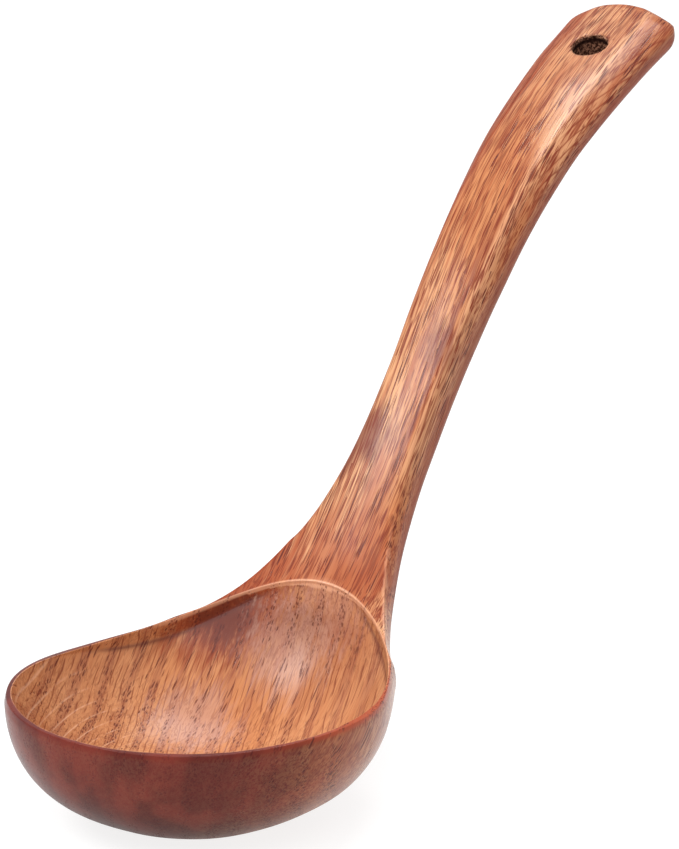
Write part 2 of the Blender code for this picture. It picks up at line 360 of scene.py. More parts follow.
# the hollow: an upright band, then the dish
edge_top = np.interp(edge_x, FINE[:, 0], FINE[:, 1])
arch_share = np.where(np.cos(edge_angle) > 0, np.sin(2 * edge_angle) ** 2, 0.0)
band = BAND_MARGIN + (ARCH_BAND - BAND_MARGIN) * arch_share
down = np.linspace(0, 1, BAND_CELLS + 1)[1:]
down = 0.5 * down + 0.5 * smooth_step(down)
band_points = np.stack([
    np.broadcast_to(edge_x, (BAND_CELLS, len(edge_x))),
    np.broadcast_to(edge_y, (BAND_CELLS, len(edge_x))),
    edge_top[None, :] - band[None, :] * down[:, None],
], axis=-1)
share = np.sin(0.5 * math.pi * (1 - np.arange(1, DISH_CELLS) / DISH_CELLS))[:, None]
stretch = DISH_STRETCH + ARCH_STRETCH * arch_share
rise = (1 - round_off(share / stretch, DISH_ROUNDNESS)) / (1 - round_off(1 / stretch, DISH_ROUNDNESS))
dish_points = np.stack([
    HOLLOW_CENTRE + (edge_x - HOLLOW_CENTRE)[None, :] * share,
    edge_y[None, :] * share,
    FLOOR_THICKNESS + (edge_top - band - FLOOR_THICKNESS)[None, :] * rise,
], axis=-1)
hollow = skin.add(np.concatenate([band_points, dish_points]))
hollow = np.concatenate([lip[:1], hollow])
skin.quads(hollow, closed=True)
middle = skin.add([[HOLLOW_CENTRE, 0.0, FLOOR_THICKNESS]])[0]
skin.fan(hollow[-1], middle)

# the shoulder of the bowl's rim and of the neck, from the ridge down to the widest line
fall = (np.arange(1, SHOULDER_CELLS + 1) / SHOULDER_CELLS) ** 1.4


def shoulder(side):
    left = (1 - fall[:, None]) ** SHOULDER_ROUNDNESS
    along = rim[None, :] - normal[0] * inset * left
    across = np.maximum(half_width - normal[1] * inset * left, 0.0)
    across[:, 0] = 0.0
    return place(along, side * across, drop * fall[:, None] * np.ones_like(left))


ridge_ids = {1: lip[-1, :len(rim)], -1: np.concatenate([lip[-1, :1], lip[-1, -1:-len(rim):-1]])}
first = skin.add(shoulder(1))
second = skin.add(shoulder(-1)[:, 1:])
second = np.concatenate([first[:, :1], second], axis=1)
skin.quads(np.concatenate([ridge_ids[1][None], first]))
skin.quads(np.concatenate([ridge_ids[-1][None], second])[:, ::-1])
widest = {1: first[-1], -1: second[-1]}

# the neck's underside, ring by ring, from the handle back to the bowl's polar grid
angles = np.linspace(0, math.pi, KEEL_CELLS + 1)
ring_at = rim[RIM_CELLS:]
inside = skin.add(under(ring_at[:, None], angles[None, 1:-1]))
rings = np.concatenate([widest[1][RIM_CELLS:, None], inside, widest[-1][RIM_CELLS:, None]], axis=1)
skin.quads(rings)

# the bowl's outside: great circles from the widest line and from the first ring to the bottom
turns = np.arccos(np.clip(reach, -1, 1))
rim_plus = np.stack([np.cos(turns), np.sin(turns), 0 * turns], axis=-1)
ring_turn = math.sin(RIM_TURN)
ring_dirs = np.stack([
    np.full(KEEL_CELLS - 1, math.cos(RIM_TURN)),
    ring_turn * np.cos(angles[1:-1]),
    -ring_turn * np.sin(angles[1:-1]),
], axis=-1)
rim_minus = rim_plus * np.array([1, -1, 1])
loop_dirs = np.concatenate([rim_plus, ring_dirs, rim_minus[:0:-1]])
loop_ids = np.concatenate([widest[1][:RIM_CELLS + 1], rings[0, 1:-1], widest[-1][RIM_CELLS:0:-1]])
steps = np.arange(1, BOWL_CELLS) / BOWL_CELLS
span = np.arccos(np.clip(-loop_dirs[:, 2], -1, 1))
sine = np.sin(span)
walk = (np.sin((1 - steps)[:, None] * span) / sine)[..., None] * loop_dirs
walk += (np.sin(steps[:, None] * span) / sine)[..., None] * np.array([0, 0, -1.0])
walk_along = BOWL_HALF_LENGTH * (1 + walk[..., 0])
walk_angle = np.arctan2(-walk[..., 2], walk[..., 1])
bowl = skin.add(under(walk_along, walk_angle))
bowl = np.concatenate([loop_ids[None], bowl])
skin.quads(bowl[:, ::-1], closed=True)
bottom = skin.add(under(np.array([BOWL_HALF_LENGTH]), np.array([0.5 * math.pi])))[0]
skin.fan(bowl[-1, ::-1], bottom)

# the handle's closed rings: top face, one shoulder, keel, the other shoulder
half_width, _, inset, drop, _, _ = sections(stations)
left = (1 - fall[:-1][None, :]) ** SHOULDER_ROUNDNESS
shoulder_across = half_width[:, None] - inset[:, None] * left
shoulder_below = drop[:, None] * fall[:-1][None, :]
top_points = on_top(stations[:, None], (half_width - inset)[:, None] * across_shares[None, :])
minus_points = place(stations[:, None], -shoulder_across, shoulder_below)
keel_points = under(stations[:, None], angles[None, ::-1])
plus_points = place(stations[:, None], shoulder_across[:, ::-1], shoulder_below[:, ::-1])
ring_points = np.concatenate([top_points, minus_points, keel_points, plus_points], axis=1)
handle = skin.add(ring_points)
start_ring = np.concatenate([
    lip[-1, len(rim) - 1:len(rim) + TOP_CELLS],
    second[:-1, -1], rings[-1, ::-1], first[-2::-1, -1],
])
handle = np.concatenate([start_ring[None], handle])
skin.quads(handle, closed=True)

# the flat end
end_ring = ring_points[-1]
end_centre = place(LENGTH, 0.0, 0.5 * sections(LENGTH)[1])
shrink = np.array(END_CAP_SHARES)
cap = skin.add(end_centre + (end_ring - end_centre)[None] * shrink[:, None, None])
cap = np.concatenate([handle[-1:], cap])
skin.quads(cap, closed=True)
end_middle = skin.add([end_centre])[0]
skin.fan(cap[-1], end_middle)

points = np.concatenate(skin.points)
faces = np.concatenate(skin.faces)


# ---- softening the edges -----------------------------------------------------------------------------
def neighbours(faces):
    pairs = np.concatenate([faces[:, [i, (i + 1) % 4]] for i in range(4)])
    pairs = pairs[pairs[:, 0] != pairs[:, 1]]
    pairs = np.sort(pairs, axis=1)
    return np.unique(pairs, axis=0)


def relax(points, pairs, strength, rounds):
    """Move each vertex towards the middle of its neighbours, by its own strength."""
    a, b = pairs[:, 0], pairs[:, 1]
    count = np.bincount(np.concatenate([a, b]), minlength=len(points))[:, None]
    for _ in range(rounds):
        total = np.stack([
            np.bincount(a, points[b, k], len(points)) + np.bincount(b, points[a, k], len(points))
            for k in range(3)
        ], axis=1)
        points = points + strength[:, None] * (total / count - points)
    return points


pairs = neighbours(faces)
edge = np.zeros(len(points))
edge[lip[:3].ravel()] = 0.5
edge[hollow[:BAND_CELLS + 8].ravel()] = 0.5
points = relax(points, pairs, edge, 5)

crease = np.zeros(len(points))
crease[hollow[2:BAND_CELLS + 16].ravel()] = 0.5
points = relax(points, pairs, crease, 4)

outer = np.zeros(len(points))
for side in (1, -1):
    outer[ridge_ids[side]] = 0.5
for k in range(-6, 0):
    outer[lip[k, :len(rim)]] = 0.5
    outer[lip[k, -len(rim):]] = 0.5
outer[first[:5].ravel()] = 0.5
outer[second[:5].ravel()] = 0.5
n_top = TOP_CELLS + 1
near_side = [TOP_CELLS - 2, TOP_CELLS - 1, TOP_CELLS, n_top, n_top + 1, n_top + 2]
far_side = [0, 1, 2, 3, -1, -2, -3, -4]
outer[handle[:HANDLE_CELLS - CRISP_RINGS, near_side].ravel()] = 0.5
outer[handle[HANDLE_CELLS - CRISP_RINGS:, near_side].ravel()] = 0.12
outer[handle[:, far_side].ravel()] = 0.5
outer[handle[-7:].ravel()] = 0.5
outer[cap[:5].ravel()] = 0.5
points = relax(points, pairs, outer, 8)

soft = np.zeros(len(points))
ring_place = np.concatenate([[NECK_END], stations])
near_wide = list(range(TOP_CELLS - 6, TOP_CELLS + 1)) + list(range(n_top, n_top + 5))
far_wide = list(range(0, 7)) + list(range(-6, 0))
for columns, (stop, length) in ((near_wide, SOFT_END_NEAR), (far_wide, SOFT_END_FAR)):
    fade = smooth_step((ring_place - SOFT_START[0]) / SOFT_START[1])
    fade = fade * (1 - smooth_step((ring_place - stop) / length))
    for column in columns:
        soft[handle[:, column]] = 0.5 * fade
points = relax(points, pairs, soft, 40)


# ---- hand-carved unevenness ----------------------------------------------------------------------------
def carved(points):
    """A gentle waviness between 0 and 1, from a few crossing waves."""
    total = np.zeros(len(points))
    waves = [
        ((0.21, 0.13, 0.05), 0.3, 1.0), ((-0.11, 0.24, 0.09), 1.7, 0.9), ((0.07, -0.16, 0.27), 2.9, 0.9),
        ((0.34, 0.22, -0.18), 0.9, 0.5), ((-0.27, 0.31, 0.22), 4.1, 0.5), ((0.19, -0.37, 0.33), 5.2, 0.4),
    ]
    for direction, start, size in waves:
        total += size * np.sin(points @ np.array(direction) + start)
    return 0.5 + 0.5 * total / sum(size for _, _, size in waves)


def make_mesh(name, points, faces):
    polygons = [face[:3] if face[2] == face[3] else face for face in faces.tolist()]
    mesh = bpy.data.meshes.new(name)
    mesh.from_pydata((points * MM).tolist(), [], polygons)
    mesh.update()
    return mesh


def turn_outwards(mesh):
    bm = bmesh.new()
    bm.from_mesh(mesh)
    bmesh.ops.recalc_face_normals(bm, faces=bm.faces)
    bm.to_mesh(mesh)
    bm.free()


ladle = bpy.data.objects.new("ladle_wood", make_mesh("ladle_wood", points, faces))
bpy.context.scene.collection.objects.link(ladle)
turn_outwards(ladle.data)
normals = np.empty(3 * len(points))
ladle.data.vertices.foreach_get("normal", normals)
swell = HANDLE_SWELL * smooth_step((points[:, 0] - 52) / 16) * (1 - smooth_step((points[:, 0] - 182) / 15))
inward = UNEVENNESS * carved(points) * smooth_step(points[:, 2] / RESTING_HEIGHT) - SKIN_OFFSET - swell
points = points - normals.reshape(-1, 3) * inward[:, None]
points[:, 2] = np.maximum(points[:, 2], 0.0)
ladle.data.vertices.foreach_set("co", (points * MM).ravel())
ladle.data.update()

# ---- the hang hole, drilled square to the top face, with a slightly rounded mouth --------------------------
hole_at = LENGTH - HANG_HOLE_FROM_END
hole_top = place(hole_at, 0.0, 0.0)
ahead = place(hole_at + 1, 0.0, 0.0) - place(hole_at - 1, 0.0, 0.0)
ahead /= np.linalg.norm(ahead)
hole_up = np.array([-ahead[2], 0.0, ahead[0]])
crown_there = sections(hole_at)[5]
thick_there = sections(hole_at)[1]
mouth_top = crown_there + MOUTH_LIFT
levels = [(8.0, HANG_HOLE_RADIUS + 3.2), (mouth_top, HANG_HOLE_RADIUS + MOUTH)]
for k in range(1, MOUTH_RINGS + 1):
    sunk_share = math.sin(0.5 * math.pi * k / MOUTH_RINGS)
    levels.append((mouth_top - MOUTH * sunk_share, HANG_HOLE_RADIUS + MOUTH * (1 - sunk_share) * 0.9))
levels += [(-thick_there * share, HANG_HOLE_RADIUS) for share in HOLE_DEPTHS]
levels += [(-thick_there - 0.1, HANG_HOLE_RADIUS + 0.35), (-thick_there - 6, HANG_HOLE_RADIUS + 1.5)]
around = np.arange(HOLE_STEPS) * 2 * math.pi / HOLE_STEPS
drill = []
for height, radius in levels:
    wobble = 0.07 * np.sin(3 * around + 0.7 * height) + 0.05 * np.sin(7 * around - 0.9 * height)
    r = radius + np.where(radius > HANG_HOLE_RADIUS, 0.3, 1.0) * wobble
    drill.append(hole_top + hole_up * height + np.outer(r * np.cos(around), ahead)
                 + np.outer(r * np.sin(around), np.array([0.0, 1.0, 0.0])))
cutter_mesh = bpy.data.meshes.new("hang_hole_drill")
verts = np.concatenate(drill) * MM
cutter_faces = []
for i in range(len(drill) - 1):
    for j in range(HOLE_STEPS):
        k = (j + 1) % HOLE_STEPS
        upper, lower = i * HOLE_STEPS, (i + 1) * HOLE_STEPS
        cutter_faces.append((upper + j, upper + k, lower + k, lower + j))
cutter_faces.append(tuple(range(HOLE_STEPS)))
cutter_faces.append(tuple(range(len(verts) - 1, len(verts) - HOLE_STEPS - 1, -1)))
cutter_mesh.from_pydata(verts.tolist(), [], cutter_faces)
cutter_mesh.update()
turn_outwards(cutter_mesh)
drill_object = bpy.data.objects.new("hang_hole_drill", cutter_mesh)
bpy.context.scene.collection.objects.link(drill_object)
drilling = ladle.modifiers.new("hang_hole", "BOOLEAN")
drilling.operation = "DIFFERENCE"
drilling.solver = "EXACT"
drilling.object = drill_object
bpy.context.view_layer.update()
graph = bpy.context.evaluated_depsgraph_get()
drilled = bpy.data.meshes.new_from_object(ladle.evaluated_get(graph))
ladle.modifiers.clear()
ladle.data = drilled
bpy.data.objects.remove(drill_object, do_unlink=True)
ladle.data.shade_smooth()

# ---- where each vertex lies: the hollow, the outside, the edges, the drilled wall --------------------
spots = np.empty(3 * len(ladle.data.vertices))
ladle.data.vertices.foreach_get("co", spots)
spots = spots.reshape(-1, 3) / MM
offset = spots - hole_top
height = offset @ hole_up
radial = np.linalg.norm(offset - np.outer(height, hole_up), axis=1)
in_hole = (height < 3) * (1 - smooth_step((radial - HANG_HOLE_RADIUS - 0.12) / 0.3))
# the band of the hole's wall just under its mouth, where shade is painted
mouth = in_hole * smooth_step((height + 2.4) / 1.2) * (1 - smooth_step((height + 0.3) / 0.4))
dx = spots[:, 0] - HOLLOW_CENTRE
plan = np.hypot(dx / np.where(dx > 0, HOLLOW_BACK, HOLLOW_FRONT), spots[:, 1] / HOLLOW_HALF_WIDTH)
lid = np.interp(spots[:, 0], FINE[:, 0], FINE[:, 1])
dish_rise = 1 - round_off(np.minimum(plan, 1) / DISH_STRETCH, DISH_ROUNDNESS)
dish_rise = dish_rise / (1 - round_off(1 / DISH_STRETCH, DISH_ROUNDNESS))
dish = FLOOR_THICKNESS + (lid - FLOOR_THICKNESS) * dish_rise
hollowed = (plan < 1.005) & (spots[:, 2] > np.minimum(dish, lid) - 5.0 * smooth_step(plan - 0.5) - 1.5)
# the dark outside colour: partly stain and partly painted shade, fading towards the neck
outside = (1.0 - hollowed) * (1 - 0.5 * smooth_step((spots[:, 0] + 34) / 36))
outside = outside * (1 - smooth_step((spots[:, 0] - 14) / 40))

side_view = spots[:, [0, 2]]


def nearest_on(line, batch=4000):
    """For each vertex, the number of the line's nearest point as seen from the side."""
    return np.concatenate([
        np.argmin(((side_view[i:i + batch, None] - line[None]) ** 2).sum(axis=2), axis=1)
        for i in range(0, len(side_view), batch)
    ])


# the fibre runs along a spine: the handle's top line, and straight on through the bowl
spine_start = np.searchsorted(FINE[:, 0], SPINE_FROM)
straight_on = FINE[spine_start] - FINE[spine_start - 3]
straight_on /= np.linalg.norm(straight_on)
reach_down = np.arange(SPINE_REACH, 0, -SPINE_STEP)
spine = np.concatenate([FINE[spine_start] - reach_down[:, None] * straight_on, FINE[spine_start::8]])
ahead_of = np.gradient(spine, axis=0)
ahead_of /= np.linalg.norm(ahead_of, axis=1)[:, None]
spine_gaps = np.linalg.norm(np.diff(spine, axis=0), axis=1)
spine_travel = np.concatenate([[0.0], np.cumsum(spine_gaps)]) - reach_down[0]
nearest = nearest_on(spine)
away = side_view - spine[nearest]
tangent_there = ahead_of[nearest]
grain = np.stack([
    spine_travel[nearest] + (away * tangent_there).sum(axis=1),
    spots[:, 1],
    away[:, 1] * tangent_there[:, 0] - away[:, 0] * tangent_there[:, 1],
], axis=1)

# the handle's edges, its end and its sides below the widest line, painted darker as shade
on_line = nearest_on(FINE[::6]) * 6
distance = TRAVEL[on_line]
half_width, _, inset, drop, _, _ = sections(distance)
slope_x = np.gradient(FINE[:, 0], TRAVEL)[on_line]
slope_z = np.gradient(FINE[:, 1], TRAVEL)[on_line]
gone = side_view - FINE[on_line]
below = gone[:, 0] * slope_z - gone[:, 1] * slope_x
flank = smooth_step((below / drop - 0.6) / 1.1) * smooth_step((spots[:, 0] - 30) / 40)
outside = np.maximum(outside, 0.8 * flank)
to_ridge = np.abs(spots[:, 1]) / (half_width - inset)
edge = smooth_step((to_ridge - 0.93) / 0.07) * (1 - hollowed) * smooth_step((spots[:, 0] - 36) / 20)
edge *= np.where(spots[:, 1] > 0, 1.0, 0.25)
edge = np.maximum(edge, 0.7 * smooth_step((distance - LENGTH + 2.4) / 2.4))
dulled_coat = np.maximum(edge, flank)

# a painted highlight: a bright line along the hollow's edge at the arch, and along the right-hand ridge
highlight_line = smooth_step((plan - 0.99) / 0.006) * (1 - smooth_step((plan - 1.002) / 0.006))
highlight_line *= (np.abs(spots[:, 2] - lid) < 0.8) * smooth_step((spots[:, 0] - 26) / 10)
right_ridge = smooth_step((to_ridge - 0.96) / 0.02) * (1 - smooth_step((to_ridge - 1.0) / 0.02))
right_ridge *= (spots[:, 1] < 0) * (below < 1.6) * smooth_step((spots[:, 0] - 40) / 4)
right_ridge *= np.maximum(1 - smooth_step((spots[:, 0] - 58) / 16), smooth_step((distance - 236) / 12))
highlight_line = np.maximum(highlight_line, 0.8 * right_ridge)

# the rim's flat top, and the crease where the upright wall meets the dish, painted darker there as shade
lip_top = (1 - hollowed) * smooth_step((1.4 - below) / 0.8) * (1 - smooth_step((spots[:, 0] - 20) / 25))
edge_turn = np.arctan2(spots[:, 1] / HOLLOW_HALF_WIDTH, dx / HOLLOW_BACK)
band_there = np.where(dx > 0, ARCH_BAND * np.sin(2 * edge_turn) ** 2, 0.0)
crease_line = np.exp(-((lid - spots[:, 2] - band_there - 0.4) / 0.45) ** 2)
crease_line = crease_line * (plan > 0.88) * smooth_step((band_there - 0.8) / 1.5)

for name, values in (
    ("hole", in_hole), ("mouth", mouth), ("outside", outside), ("hollow", hollowed.astype(float)),
    ("edge", edge), ("dulled_coat", dulled_coat), ("highlight_line", highlight_line), ("lip", lip_top),
    ("crease", crease_line * hollowed),
):
    layer = ladle.data.attributes.new(name, "FLOAT", "POINT")
    layer.data.foreach_set("value", values.astype(np.float32))
layer = ladle.data.attributes.new("grain", "FLOAT_VECTOR", "POINT")
layer.data.foreach_set("vector", grain.astype(np.float32).ravel())


# ---- the lacquered wood ----------------------------------------------------------------------------------
ACROSS_RINGS = (-0.173, 0.897, 0.406)   # in the grain's own axes: along the fibre, sideways, outwards
RING_SPACING = 5.8
LAYERS_PER_RING = 4.3
FIBRE_LEAN = 0.035
FIBRE_LIFT = 0.012
TOOL_SPACING = 2.3                      # between the marks of the turning tool
ARC_SPACING = 1.05
COAT_ROUGHNESS = 0.22
COAT_IOR = 1.33
PORE_DEPTH = 0.0001                     # metres, as is the film's
FILM_DEPTH = 0.00008


class Graph:
    """Short names for the shader nodes used below."""

    def __init__(self, tree):
        self.tree = tree

    def node(self, kind, **settings):
        made = self.tree.nodes.new(kind)
        for name, value in settings.items():
            setattr(made, name, value)
        return made

    def feed(self, socket, value):
        if isinstance(value, bpy.types.NodeSocket):
            self.tree.links.new(value, socket)
        else:
            socket.default_value = value

    def math(self, operation, *values, clamp=False):
        made = self.node("ShaderNodeMath", operation=operation, use_clamp=clamp)
        for socket, value in zip(made.inputs, values):
            self.feed(socket, value)
        return made.outputs[0]

    def times(self, first, *others):
        for other in others:
            first = self.math("MULTIPLY", first, other)
        return first

    def plus(self, first, second, clamp=False):
        return self.math("ADD", first, second, clamp=clamp)

    def minus(self, first, second):
        return self.math("SUBTRACT", first, second)

    def vector(self, operation, *values):
        made = self.node("ShaderNodeVectorMath", operation=operation)
        for socket, value in zip(made.inputs, values):
            self.feed(socket, value)
        return made.outputs["Value" if operation in ("DOT_PRODUCT", "DISTANCE", "LENGTH") else "Vector"]

    def combine(self, x, y, z):
        made = self.node("ShaderNodeCombineXYZ")
        for socket, value in zip(made.inputs, (x, y, z)):
            self.feed(socket, value)
        return made.outputs[0]

    def noise(self, vector, scale=1.0, detail=2.0, roughness=0.5):
        made = self.node("ShaderNodeTexNoise")
        self.feed(made.inputs["Vector"], vector)
        made.inputs["Scale"].default_value = scale
        made.inputs["Detail"].default_value = detail
        made.inputs["Roughness"].default_value = roughness
        return made.outputs["Fac"]

    def ramp(self, value, low, high, start=0.0, end=1.0):
        """A smooth rise from start at low to end at high."""
        made = self.node("ShaderNodeMapRange", interpolation_type="SMOOTHSTEP")
        for name, setting in (("From Min", low), ("From Max", high), ("To Min", start), ("To Max", end)):
            self.feed(made.inputs[name], setting)
        self.feed(made.inputs["Value"], value)
        return made.outputs["Result"]

    def mix(self, share, first, second):
        made = self.node("ShaderNodeMix", data_type="RGBA")
        self.feed(made.inputs["Factor"], share)
        self.feed(made.inputs[6], first if isinstance(first, bpy.types.NodeSocket) else (*first, 1.0))
        self.feed(made.inputs[7], second if isinstance(second, bpy.types.NodeSocket) else (*second, 1.0))
        return made.outputs[2]

    def attribute(self, name, output="Fac"):
        return self.node("ShaderNodeAttribute", attribute_name=name).outputs[output]

    def pores(self, vector, size, share):
        """Dark vessel lines: one stretched spot in each cell, kept in a share of the cells."""
        cells = self.node("ShaderNodeTexVoronoi", feature="F1")
        self.feed(cells.inputs["Vector"], vector)
        cells.inputs["Scale"].default_value = 1.0
        draw = self.node("ShaderNodeSeparateColor")
        self.feed(draw.inputs[0], cells.outputs["Color"])
        radius = self.ramp(draw.outputs[1], 0.0, 1.0, size * 0.65, size * 1.25)
        spot = self.math("SUBTRACT", 1.0, self.math("DIVIDE", cells.outputs["Distance"], radius), clamp=True)
        kept = self.math("LESS_THAN", draw.outputs[0], share)
        return self.times(self.ramp(spot, 0.0, 0.45), kept)

    def lines(self, value, spacing, rise, fall):
        """Thin repeated lines: up over the first share of each spacing, down by the second."""
        phase = self.math("FRACT", self.math("DIVIDE", value, spacing))
        return self.times(self.ramp(phase, 0.0, rise), self.ramp(phase, rise, fall, 1.0, 0.0))


def srgb(red, green, blue):
    """Linear colour from 8-bit display values."""
    return tuple(
        c / 12.92 if c <= 0.04045 else ((c + 0.055) / 1.055) ** 2.4
        for c in (red / 255, green / 255, blue / 255)
    )


TAN = srgb(205, 152, 111)
ORANGE = srgb(184, 120, 78)
RED = srgb(130, 50, 26)
PURPLE = srgb(104, 52, 46)
HOLLOW_TAN = srgb(196, 132, 86)
STREAK_BROWN = srgb(156, 80, 48)
LAYER_BROWN = srgb(112, 48, 30)
BAND_BROWN = srgb(146, 84, 62)
ARC_BROWN = srgb(118, 50, 32)
END_BROWN = srgb(150, 80, 52)
SEAM_BROWN = srgb(112, 46, 40)
RIDGE_HIGHLIGHT_PALE = srgb(214, 166, 128)
NECK_RED = srgb(138, 58, 32)
NECK_BROWN = srgb(158, 80, 48)
SHADE_UNDER_ARCH = srgb(92, 38, 28)
CREASE_SHADE = srgb(84, 34, 26)
TIP_BROWN = srgb(144, 68, 42)
ARCH_REFLECTION_PINK = srgb(176, 128, 112)
WALL_HIGHLIGHT_PINK = srgb(204, 158, 136)
FLOOR_HIGHLIGHT_PINK = srgb(176, 134, 120)
HAIR_BROWN = srgb(106, 40, 26)
DASH_BROWN = srgb(112, 40, 26)
LIP_NEAR, LIP_FAR = srgb(186, 76, 42), srgb(104, 40, 26)
HIGHLIGHT_PALE = srgb(236, 178, 142)
EDGE_SHADE_BROWN = srgb(136, 58, 34)
PORE_BROWN = srgb(88, 34, 28)
TOOL_PALE = srgb(232, 184, 150)
STAIN_LIGHT, STAIN_DARK = srgb(106, 41, 34), srgb(80, 28, 26)
# painted shade for the outside's underside, and painted light for its right side
PAINTED_SHADE_LOW = srgb(30, 8, 9)
PAINTED_LIGHT_RIGHT = srgb(172, 98, 74)
STAIN_PORE = srgb(50, 16, 12)
DUST_DARK, DUST_PALE = srgb(60, 34, 26), srgb(164, 118, 94)
MOUTH_SHADE = srgb(30, 14, 12)


def lacquered_wood():
    material = bpy.data.materials.new("lacquered_wood_grain")
    material.use_nodes = True
    shader = material.node_tree.nodes["Principled BSDF"]
    g = Graph(material.node_tree)

    def scaled(vector, scale):
        result = g.vector("SCALE", vector)
        result.node.inputs["Scale"].default_value = scale
        return result

    def split(vector):
        made = g.node("ShaderNodeSeparateXYZ")
        g.feed(made.inputs[0], vector)
        return made.outputs

    # places in millimetres: the ladle's own x, y, z, and the grain's along, sideways, outwards
    spot = scaled(g.node("ShaderNodeTexCoord").outputs["Object"], 1 / MM)
    x, y, z = split(spot)
    along, sideways, outwards = split(g.attribute("grain", "Vector"))
    across = g.minus(sideways, g.times(along, FIBRE_LEAN))
    beside = g.plus(outwards, g.times(along, FIBRE_LIFT))

    def stretched(lengthwise, depthwise, crosswise):
        return g.combine(g.times(along, lengthwise), g.times(across, depthwise), g.times(beside, crosswise))

    def dashes(length, width, size, share):
        return g.pores(stretched(1 / length, 1 / width, 1 / width), size, share)

    def centred(value, size):
        return g.times(g.minus(value, 0.5), size)

    def between(value, low, high, last, end):
        """Rises from low to high and falls again from last to end."""
        return g.times(g.ramp(value, low, high), g.ramp(value, last, end, 1.0, 0.0))

    # growth rings, gently wavy
    sway = centred(g.noise(stretched(0.01, 0.02, 0.02), 1.0, 2.0), 5.0)
    ripple = centred(g.noise(stretched(0.05, 0.15, 0.15), 1.0, 2.0), 1.8)
    in_bowl = g.math("MINIMUM", along, 0.0)
    depth = g.vector("DOT_PRODUCT", g.combine(in_bowl, sideways, outwards), ACROSS_RINGS)
    depth = g.minus(depth, g.times(g.math("MAXIMUM", along, 0.0), 0.02))
    depth = g.plus(depth, g.plus(sway, ripple))
    phase = g.math("FRACT", g.math("DIVIDE", depth, RING_SPACING))
    early = between(phase, 0.0, 0.05, 0.2, 0.55)
    late = g.ramp(phase, 0.5, 0.97)

    # vessels, as thin dashes along the fibre
    inside = g.attribute("hollow")
    outside_hollow = g.minus(1.0, inside)
    crowd = g.noise(stretched(0.05, 0.12, 0.12), 1.0, 1.0)
    large_share = g.plus(g.times(early, g.ramp(crowd, 0.3, 0.7, 0.6, 1.0)), 0.03)
    large = dashes(12.0, 0.55, 0.42, large_share)
    fine = dashes(9.0, 0.5, 0.38, g.ramp(early, 0.0, 1.0, 0.04, 0.75))
    pore = g.math("MAXIMUM", large, g.times(fine, 0.75))
    short = dashes(8.5, 0.5, 0.45, g.ramp(crowd, 0.35, 0.65, 0.3, 0.75))
    long = dashes(18.0, 0.38, 0.46, 0.5)
    dash = g.math("MAXIMUM", short, g.times(long, 0.8))
    dash = g.times(dash, g.plus(0.12, g.times(outside_hollow, 0.88)))

    # fibre streaks and the fine layers of each ring
    streak = g.noise(stretched(0.035, 1.0, 1.0), 1.0, 3.0, 0.7)
    lamina = g.plus(depth, centred(g.noise(stretched(0.07, 0.25, 0.25), 1.0, 2.0), 1.6))
    layer = g.lines(lamina, RING_SPACING / LAYERS_PER_RING, 0.1, 0.32)
    layer = g.times(layer, g.ramp(g.noise(stretched(0.11, 0.45, 0.2), 1.0, 2.0), 0.4, 0.52))
    hair = g.noise(stretched(0.03, 0.85, 0.85), 1.0, 2.0, 0.6)
    hair = g.ramp(g.math("ABSOLUTE", g.minus(hair, 0.5)), 0.01, 0.05, 1.0, 0.0)
    stripe = g.noise(stretched(0.016, 0.55, 0.4), 1.0, 3.0, 0.6)
    patch = g.noise(stretched(0.014, 0.04, 0.04), 1.0, 2.0)

    colour = g.mix(g.ramp(patch, 0.36, 0.64), TAN, ORANGE)

    def lay(share, shade):
        nonlocal colour
        colour = g.mix(share, colour, shade)

    lay(g.times(g.ramp(stripe, 0.5, 0.72), 0.5), RED)
    lay(g.times(late, 0.15), RED)
    lay(g.times(inside, 0.45), HOLLOW_TAN)
    lay(g.times(g.ramp(streak, 0.5, 0.58), g.minus(0.55, g.times(inside, 0.35))), STREAK_BROWN)
    lay(g.times(layer, inside, 0.8), LAYER_BROWN)
    lay(g.times(between(phase, 0.0, 0.1, 0.25, 0.5), inside, 0.4), BAND_BROWN)

    # slanted arcs on the side face near the end
    arc = g.vector("LENGTH", g.combine(g.plus(outwards, 3.6), 0.8, 0.0))
    arc = g.plus(arc, g.times(along, 0.11))
    arc = g.plus(arc, centred(g.noise(stretched(0.05, 0.2, 0.2), 1.0, 1.0), 0.6))
    arc = g.lines(arc, ARC_SPACING, 0.12, 0.36)
    arc = g.times(arc, g.ramp(sideways, -11.5, -9.5, 1.0, 0.0), g.ramp(along, 100.0, 112.0))
    lay(g.times(arc, 0.8), ARC_BROWN)
    lay(g.times(g.ramp(along, 120.0, 156.0), 0.25), END_BROWN)

    # a dark streak beside the right-hand ridge, and a painted highlight strip outside it
    ragged_side = g.plus(sideways, centred(g.noise(stretched(0.06, 0.5, 0.5), 1.0, 2.0), 3.0))
    seam = g.ramp(g.math("ABSOLUTE", g.plus(ragged_side, 5.6)), 0.2, 1.1, 1.0, 0.0)
    lay(g.times(seam, between(along, 24.0, 40.0, 74.0, 104.0), 0.7), SEAM_BROWN)
    lay(g.times(between(y, -11.0, -9.0, -8.0, -6.5), g.ramp(x, 68.0, 84.0), 0.4), RIDGE_HIGHLIGHT_PALE)

    # darker, redder and paler places, each with a ragged edge
    def near(centre, reach):
        away = g.vector("DISTANCE", spot, centre)
        ragged = centred(g.noise(stretched(0.05, 0.6, 0.6), 1.0, 3.0, 0.7), 1.8 * reach)
        return g.ramp(g.plus(away, ragged), reach * 0.35, reach, 1.0, 0.0)

